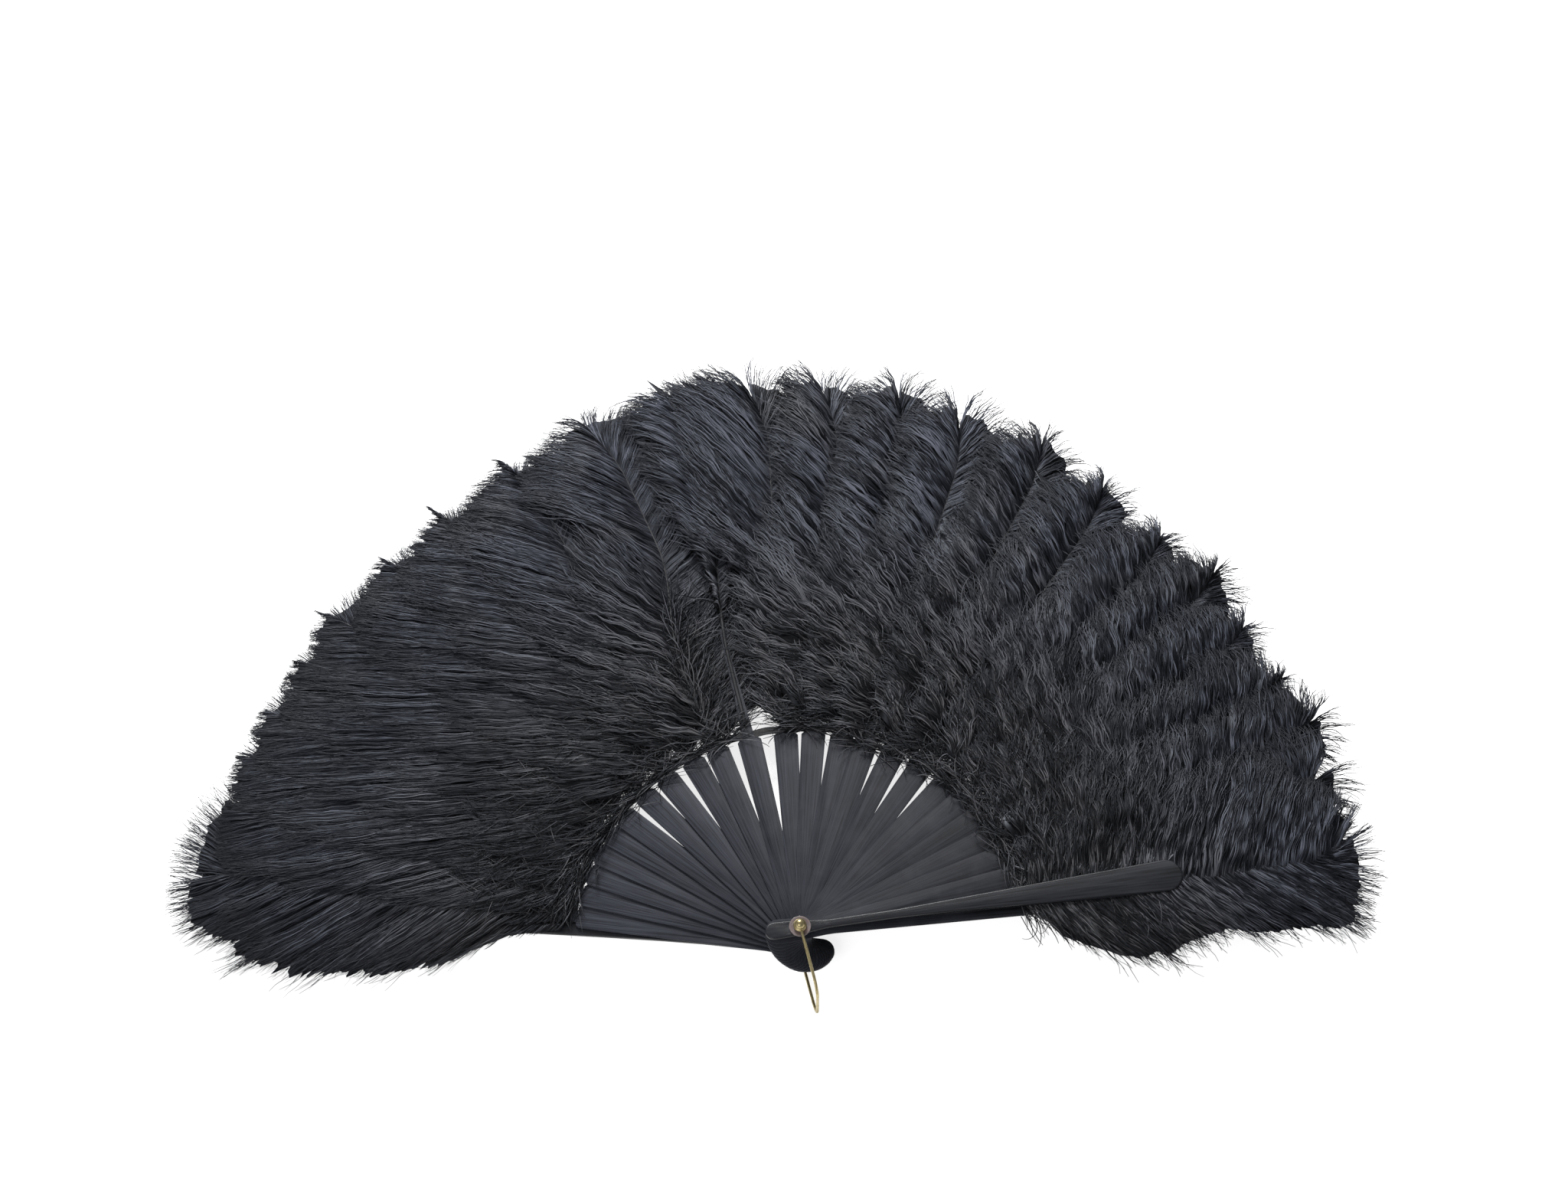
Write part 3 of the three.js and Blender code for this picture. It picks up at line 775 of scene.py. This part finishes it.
def turn_knob(finish):
    """The knob: a dome on a rounded rim."""
    low, high = np.array(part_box("rivet_knob")) / MM
    radius, rim = high[0], KNOB_RIM
    dome = [
        (DOME_SHARE * radius * math.cos(a), low[2] + rim + (high[2] - low[2] - rim) * math.sin(a))
        for a in np.linspace(0, math.pi / 2, 16)
    ]
    bead = arc((radius - rim / 2, low[2] + rim / 2), rim / 2, -90, 75, 12)
    turned("rivet_dome", [(AXIS_GAP, low[2]), *bead, *dome], "rivet_knob", "brass", finish)


def wire_tube(path, closed):
    """Points (step, side, 3) of a round wire along a path in the plane of a loop or of an eye."""
    path = np.array(path)
    if closed:
        ahead = np.roll(path, -1, axis=0) - np.roll(path, 1, axis=0)
    else:
        ahead = np.gradient(path, axis=0)
    tangent = unit(ahead)
    plane = np.cross(path[len(path) // 4] - path[0], path[len(path) // 2] - path[0])
    side = unit(np.cross(tangent, plane))
    other = np.cross(tangent, side)
    turn = np.linspace(0, 2 * math.pi, WIRE_SIDES, endpoint=False)[None, :, None]
    ring = side[:, None] * np.cos(turn) + other[:, None] * np.sin(turn)
    return path[:, None] + WIRE_RADIUS * ring


def bend_loop(finish):
    """The carrying loop: a bow of wire with an eye round each end of the rivet."""
    mount = next(mount for mount in frame["record"]["mounts"] if mount["name"] == "carrying_loop")
    x, y, _ = np.array(mount["pos_m"]) / MM
    reach, angle = math.hypot(x, y), math.atan2(y, x)
    low, high = np.array(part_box("carrying_loop")) / MM
    back, front = low[2] + WIRE_RADIUS, high[2] - WIRE_RADIUS
    turn_at = reach - LOOP_CORNER
    front_bend = arc((turn_at, front - LOOP_CORNER), LOOP_CORNER, 90, 0, CORNER_STEPS)
    back_bend = arc((turn_at, back + LOOP_CORNER), LOOP_CORNER, 0, -90, CORNER_STEPS)
    bow = [(EYE_RADIUS, front), *front_bend, *back_bend, (EYE_RADIUS, back)]
    eye = arc((0, 0), EYE_RADIUS, 0, 360, EYE_STEPS + 1)[:-1]
    tubes = [(wire_tube([(along, 0, up) for along, up in bow], False), False)]
    tubes += [(wire_tube([(*spot, level) for spot in eye], True), True) for level in (back, front)]
    points, quads, start = [], [], 0
    for tube, closed in tubes:
        rows = np.concatenate([tube, tube[:1]]) if closed else tube
        points.append(rows.reshape(-1, 3))
        quads.append(grid_quads(len(rows), WIRE_SIDES, wrap=True) + start)
        start += len(rows) * WIRE_SIDES
    points = np.concatenate(points)
    turned_x = points[:, 0] * math.cos(angle) - points[:, 1] * math.sin(angle)
    turned_y = points[:, 0] * math.sin(angle) + points[:, 1] * math.cos(angle)
    points = np.stack([turned_x, turned_y, points[:, 2]], axis=-1)
    mesh = mesh_from("loop_wire", points * MM, np.concatenate(quads))
    add_piece("loop_wire", mesh, BODY_OF["carrying_loop"], "brass", "carrying_loop", finish)


class Tree:
    """A node tree in the making."""

    def __init__(self, tree):
        self.nodes = tree.nodes
        self.links = tree.links

    def add(self, kind, inputs=None, **settings):
        """A new node. Each of its inputs takes a value or another node's output."""
        node = self.nodes.new(kind)
        for label, value in settings.items():
            setattr(node, label, value)
        for label, value in (inputs or {}).items():
            self.feed(node.inputs[label], value)
        return node

    def feed(self, socket, value):
        if isinstance(value, bpy.types.NodeSocket):
            self.links.new(value, socket)
        else:
            socket.default_value = value

    def ramp(self, factor, stops):
        """Colours that change with a factor, from pairs of place and colour."""
        node = self.add("ShaderNodeValToRGB", {"Fac": factor})
        elements = node.color_ramp.elements
        while len(elements) < len(stops):
            elements.new(0.5)
        for element, (place, colour) in zip(elements, stops):
            element.position = place
            element.color = (*colour, 1)
        return node.outputs["Color"]

    def spread(self, value, low, high):
        """A value from 0 to 1 brought between two others."""
        inputs = {"Value": value, "To Min": low, "To Max": high}
        return self.add("ShaderNodeMapRange", inputs).outputs["Result"]

    def bump(self, height, strength, distance):
        inputs = {"Height": height, "Strength": strength, "Distance": distance * MM}
        return self.add("ShaderNodeBump", inputs).outputs["Normal"]


def new_group(name, inputs, output):
    """An empty node group with number inputs and one number output."""
    group = bpy.data.node_groups.new(name, "ShaderNodeTree")
    for label, value in inputs.items():
        socket = group.interface.new_socket(label, in_out="INPUT", socket_type="NodeSocketFloat")
        socket.default_value = value
    group.interface.new_socket(output, in_out="OUTPUT", socket_type="NodeSocketFloat")
    return group, Tree(group)


def radial_grain():
    """Grain that runs out from the rivet along sticks and shafts."""
    group, tree = new_group("radial_grain", {"Along": 14, "Around": 60, "Through": 900}, "Grain")
    entry = tree.add("NodeGroupInput").outputs
    place = tree.add("ShaderNodeTexCoord").outputs["Object"]
    parts = tree.add("ShaderNodeSeparateXYZ", {"Vector": place}).outputs
    turn = tree.add("ShaderNodeMath", {0: parts["Y"], 1: parts["X"]}, operation="ARCTAN2").outputs[0]
    far = tree.add("ShaderNodeVectorMath", {0: place}, operation="LENGTH").outputs["Value"]
    rates = {"X": (far, "Along"), "Y": (turn, "Around"), "Z": (parts["Z"], "Through")}
    scaled = {}
    for label, (value, rate) in rates.items():
        factors = {0: value, 1: entry[rate]}
        scaled[label] = tree.add("ShaderNodeMath", factors, operation="MULTIPLY").outputs[0]
    polar = tree.add("ShaderNodeCombineXYZ", scaled).outputs["Vector"]
    inputs = {"Vector": polar, "Scale": 2, "Detail": 6, "Roughness": 0.65}
    noise = tree.add("ShaderNodeTexNoise", inputs).outputs["Fac"]
    tree.add("NodeGroupOutput", {"Grain": noise})
    return group


def mottle():
    """Soft patches of wear, tarnish or lustre."""
    group, tree = new_group("mottle", {"Scale": 100, "Low": 0.35, "High": 0.7}, "Mask")
    entry = tree.add("NodeGroupInput").outputs
    place = tree.add("ShaderNodeTexCoord").outputs["Object"]
    inputs = {"Vector": place, "Scale": entry["Scale"], "Detail": 5, "Roughness": 0.6}
    noise = tree.add("ShaderNodeTexNoise", inputs).outputs["Fac"]
    inputs = {"Value": noise, "From Min": entry["Low"], "From Max": entry["High"]}
    mask = tree.add("ShaderNodeMapRange", inputs).outputs["Result"]
    tree.add("NodeGroupOutput", {"Mask": mask})
    return group


GRAIN = radial_grain()
MOTTLE = mottle()


class Finish(Tree):
    """A material in the making, with its one shader."""

    def __init__(self, name):
        self.material = bpy.data.materials.new(name)
        self.material.use_nodes = True
        super().__init__(self.material.node_tree)
        self.shader = self.nodes["Principled BSDF"]

    def surface(self, **inputs):
        for label, value in inputs.items():
            self.feed(self.shader.inputs[label.replace("_", " ")], value)

    def grain(self, **values):
        return self.add("ShaderNodeGroup", values, node_tree=GRAIN).outputs["Grain"]

    def mottle(self, **values):
        return self.add("ShaderNodeGroup", values, node_tree=MOTTLE).outputs["Mask"]

    def mix(self, factor, first, second):
        inputs = {"Factor": factor, "A": first, "B": second}
        return self.add("ShaderNodeMix", inputs, data_type="RGBA").outputs["Result"]


# Barbs are faded this near to the rivet, and keep their cool black this far out, in metres
FADED_WITHIN, COOL_BEYOND = 0.17, 0.25


def barb_finish():
    """Black ostrich barbs: every barb has its own tone and the painted light of its tint, painted shade
    where it leaves the shaft, and a dull tip where it is worn.
    """
    finish = Finish("plume_black")
    tint = finish.add("ShaderNodeAttribute", attribute_name="barb_tone_and_painted_light").outputs["Fac"]
    run = finish.add("ShaderNodeAttribute", attribute_name="barb_run").outputs["Fac"]
    cool = finish.ramp(tint, [
        (0.15, (0.0028, 0.0030, 0.0041)),
        (0.45, (0.0178, 0.0192, 0.0264)),
        (0.65, (0.0472, 0.0506, 0.0665)),
        (0.88, (0.1240, 0.1320, 0.1660)),
    ])
    faded = finish.ramp(tint, [
        (0.15, (0.0031, 0.0030, 0.0034)),
        (0.45, (0.0190, 0.0188, 0.0205)),
        (0.65, (0.0500, 0.0495, 0.0530)),
        (0.88, (0.1300, 0.1285, 0.1360)),
    ])
    place = finish.add("ShaderNodeTexCoord").outputs["Object"]
    far = finish.add("ShaderNodeVectorMath", {0: place}, operation="LENGTH").outputs["Value"]
    inputs = {"Value": far, "From Min": FADED_WITHIN, "From Max": COOL_BEYOND}
    inputs |= {"To Min": 0.9, "To Max": 0.0}
    inner = finish.add("ShaderNodeMapRange", inputs).outputs["Result"]
    patches = finish.mottle(Scale=16, Low=0.5, High=0.72)
    age = finish.add("ShaderNodeMath", {0: inner, 1: patches}, operation="MAXIMUM").outputs[0]
    shade = finish.mix(age, cool, faded)
    worn = finish.add("ShaderNodeMath", {0: run, 1: 4.0}, operation="POWER").outputs[0]
    tipped = finish.mix(worn, shade, (0.018, 0.0182, 0.021, 1))
    # Painted shade: each barb is painted darker where it leaves the shaft, for the dark valley along it;
    # the webs take this on near the shaft too
    inputs = {"Value": run, "From Max": 0.2, "To Min": 0.4, "To Max": 1.0}
    clear = finish.add("ShaderNodeMapRange", inputs).outputs["Result"]
    shaded_at_shaft = finish.mix(clear, (0.003, 0.003, 0.004, 1), tipped)
    dull = finish.mottle(Scale=24, Low=0.4, High=0.65)
    finish.surface(
        Base_Color=shaded_at_shaft,
        Roughness=finish.spread(dull, 0.36, 0.5),
        Specular_IOR_Level=0.22,
        Specular_Tint=(0.8, 0.87, 1.0, 1),
    )
    return finish.material


def shaft_finish():
    """The plumes' shafts: dyed horn with a fine grain."""
    finish = Finish("plume_shaft")
    grain = finish.grain(Along=40, Around=200, Through=300)
    finish.surface(
        Base_Color=finish.ramp(grain, [(0.3, (0.012, 0.0125, 0.014)), (0.75, (0.045, 0.046, 0.05))]),
        Roughness=finish.spread(grain, 0.25, 0.5),
    )
    return finish.material


# The stain's dark, light and rubbed shades, and how far to each side of the rivet its depth changes, in
# metres. A lighter left is painted light, for the left sticks that lie in shade
WOOD_SHADES = [(0.004, 0.0045, 0.0065), (0.036, 0.0385, 0.050), (0.028, 0.029, 0.035)]
PAINTED_LIGHT_SPAN = 0.1


def wood_finish(name, depths_right_and_lit_left, dull, gloss):
    """Ebonised wood with fine grain, rubbed in patches. Depths are those of the staining at the right
    and at the left; a lighter left is painted light, for sticks that lie in shade there.
    """
    finish = Finish(name)
    grain = finish.grain(Along=14, Around=60, Through=900)
    stains_right_and_lit_left = []
    for depth in depths_right_and_lit_left:
        dark, light, bare = (tuple(depth * part for part in shade) for shade in WOOD_SHADES)
        stains_right_and_lit_left.append(finish.ramp(grain, [(0.32, dark), (0.7, light)]))
    place = finish.add("ShaderNodeTexCoord").outputs["Object"]
    across = finish.add("ShaderNodeSeparateXYZ", {"Vector": place}).outputs["X"]
    inputs = {"Value": across, "From Min": PAINTED_LIGHT_SPAN, "From Max": -PAINTED_LIGHT_SPAN}
    painted_light_to_left = finish.add("ShaderNodeMapRange", inputs).outputs["Result"]
    # The stain shifts to its left depth towards the left; for the sticks this is painted light against
    # the shade they lie in
    stain_and_painted_light = finish.mix(painted_light_to_left, *stains_right_and_lit_left)
    rubbed = finish.mottle(Scale=60, Low=0.45, High=0.8)
    finish.surface(
        Base_Color=finish.mix(finish.spread(rubbed, 0, 0.4), stain_and_painted_light, (*bare, 1)),
        Roughness=finish.spread(grain, *dull),
        Specular_IOR_Level=gloss,
        Normal=finish.bump(grain, 0.3, 0.2),
    )
    return finish.material


def silk_finish():
    """Black silk ribbon with a fine rib across it."""
    finish = Finish("ribbon_silk")
    rib = finish.grain(Along=30, Around=900, Through=10)
    finish.surface(
        Base_Color=finish.ramp(rib, [(0.35, (0.003, 0.003, 0.004)), (0.7, (0.02, 0.02, 0.024))]),
        Roughness=finish.spread(rib, 0.4, 0.6),
        Normal=finish.bump(rib, 0.4, 0.1),
    )
    return finish.material


def brass_finish():
    """Old brass: pale where it is handled, brown in its tarnish."""
    finish = Finish("old_brass")
    tarnish = finish.mottle(Scale=420, Low=0.35, High=0.7)
    finish.surface(
        Base_Color=finish.ramp(tarnish, [(0, (0.55, 0.47, 0.26)), (1, (0.3, 0.24, 0.12))]),
        Roughness=finish.spread(tarnish, 0.26, 0.5),
        Metallic=1.0,
        Normal=finish.bump(tarnish, 0.15, 0.1),
    )
    return finish.material


def pearl_finish():
    """Mother-of-pearl: rosy and grey clouds under a gloss."""
    finish = Finish("pearl")
    lustre = finish.mottle(Scale=260, Low=0.3, High=0.7)
    clouds = [(0, (0.27, 0.17, 0.16)), (0.5, (0.2, 0.17, 0.175)), (1, (0.32, 0.24, 0.23))]
    finish.surface(
        Base_Color=finish.ramp(lustre, clouds),
        Roughness=finish.spread(lustre, 0.16, 0.3),
        Coat_Weight=0.4,
    )
    return finish.material


def dress(node, material):
    """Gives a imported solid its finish."""
    for slot in frame["nodes"][node].material_slots:
        slot.link = "OBJECT"
        slot.material = material


def make_camera():
    """The photograph's view: its frame, the rivet's place in it and its scale."""
    right = Vector((1, 0, 0))
    forward = Vector((0, math.cos(VIEW_ELEVATION), -math.sin(VIEW_ELEVATION)))
    up = right.cross(forward)
    step = MM_PER_PIXEL * MM
    rivet_front = Vector((0, 0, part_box("rivet_knob")[1][2]))
    off_right = (RIVET_PIXEL[0] - PHOTO_WIDTH / 2) * step
    off_up = (PHOTO_HEIGHT / 2 - RIVET_PIXEL[1]) * step
    data = bpy.data.cameras.new("camera")
    data.sensor_width = SENSOR_WIDTH
    data.lens = SENSOR_WIDTH * VIEW_DISTANCE / (PHOTO_WIDTH * step)
    camera = bpy.data.objects.new("camera", data)
    camera.location = rivet_front - right * off_right - up * off_up - forward * VIEW_DISTANCE
    camera.rotation_mode = "QUATERNION"
    camera.rotation_quaternion = forward.to_track_quat("-Z", "Y")
    bpy.context.collection.objects.link(camera)
    bpy.context.scene.camera = camera


def add_lamp(name, place, aim, size, power):
    data = bpy.data.lights.new(name, "AREA")
    data.shape = "SQUARE"
    data.size = size
    data.energy = power
    lamp = bpy.data.objects.new(name, data)
    lamp.location = place
    lamp.rotation_mode = "QUATERNION"
    lamp.rotation_quaternion = (Vector(aim) - Vector(place)).to_track_quat("-Z", "Y")
    bpy.context.collection.objects.link(lamp)


# The table's size and how far it lies below the fan, in metres, its glow and the light all round
TABLE_SIZE = 8
TABLE_DROP = 0.0005
TABLE_GLOW = 0.78
SKY_LIGHT = 0.28


def table_finish():
    """A pale table that the camera, gloss and glass see as white, apart from the shadow."""
    finish = Finish("pale_table")
    path = finish.add("ShaderNodeLightPath").outputs
    seen = path["Is Camera Ray"]
    for ray in ("Is Glossy Ray", "Is Transmission Ray"):
        seen = finish.add("ShaderNodeMath", {0: seen, 1: path[ray]}, operation="MAXIMUM").outputs[0]
    glow = finish.add("ShaderNodeMath", {0: seen, 1: TABLE_GLOW}, operation="MULTIPLY").outputs[0]
    finish.surface(
        Base_Color=(0.86, 0.86, 0.86, 1),
        Roughness=0.8,
        Emission_Color=(1, 1, 1, 1),
        Emission_Strength=glow,
    )
    return finish.material


def make_stage():
    bpy.ops.mesh.primitive_plane_add(size=TABLE_SIZE, location=(0, 0, -TABLE_DROP))
    floor = bpy.context.object
    floor.name = "table"
    floor.data.materials.append(table_finish())
    world = bpy.data.worlds.new("studio")
    world.use_nodes = True
    sky = world.node_tree.nodes["Background"].inputs
    sky["Color"].default_value = (1, 1, 1, 1)
    sky["Strength"].default_value = SKY_LIGHT
    bpy.context.scene.world = world
    add_lamp("overhead", (-0.4, 1.75, 1.3), (0, 0.15, 0), 0.8, 50)
    add_lamp("front_fill", (-0.8, -1.2, 1.4), (0, 0.1, 0), 1.0, 10)
    bpy.context.scene.view_settings.view_transform = "Standard"


barbs, shaft = barb_finish(), shaft_finish()
for arm in range(LAST_ARM + 1):
    grow_plume(arm, barbs, shaft)
# The sticks' left depth is painted light: it lightens the left sticks, which lie in shade
stick_wood = wood_finish("stick_wood", (0.66, 2.1), (0.5, 0.68), 0.2)
for node in STICKS:
    ease_wood(node, STICK_EASE, stick_wood)
guard_wood = wood_finish("guard_wood", (0.75, 0.75), (0.25, 0.4), 0.4)
for node in GUARDS:
    ease_wood(node, GUARD_EASE, guard_wood)
tie_ribbon(silk_finish())
pearl = pearl_finish()
for node in ("front_washer", "back_washer"):
    turn_washer(node, pearl)
brass = brass_finish()
turn_knob(brass)
bend_loop(brass)
dress("rivet", brass)

make_camera()
make_stage()
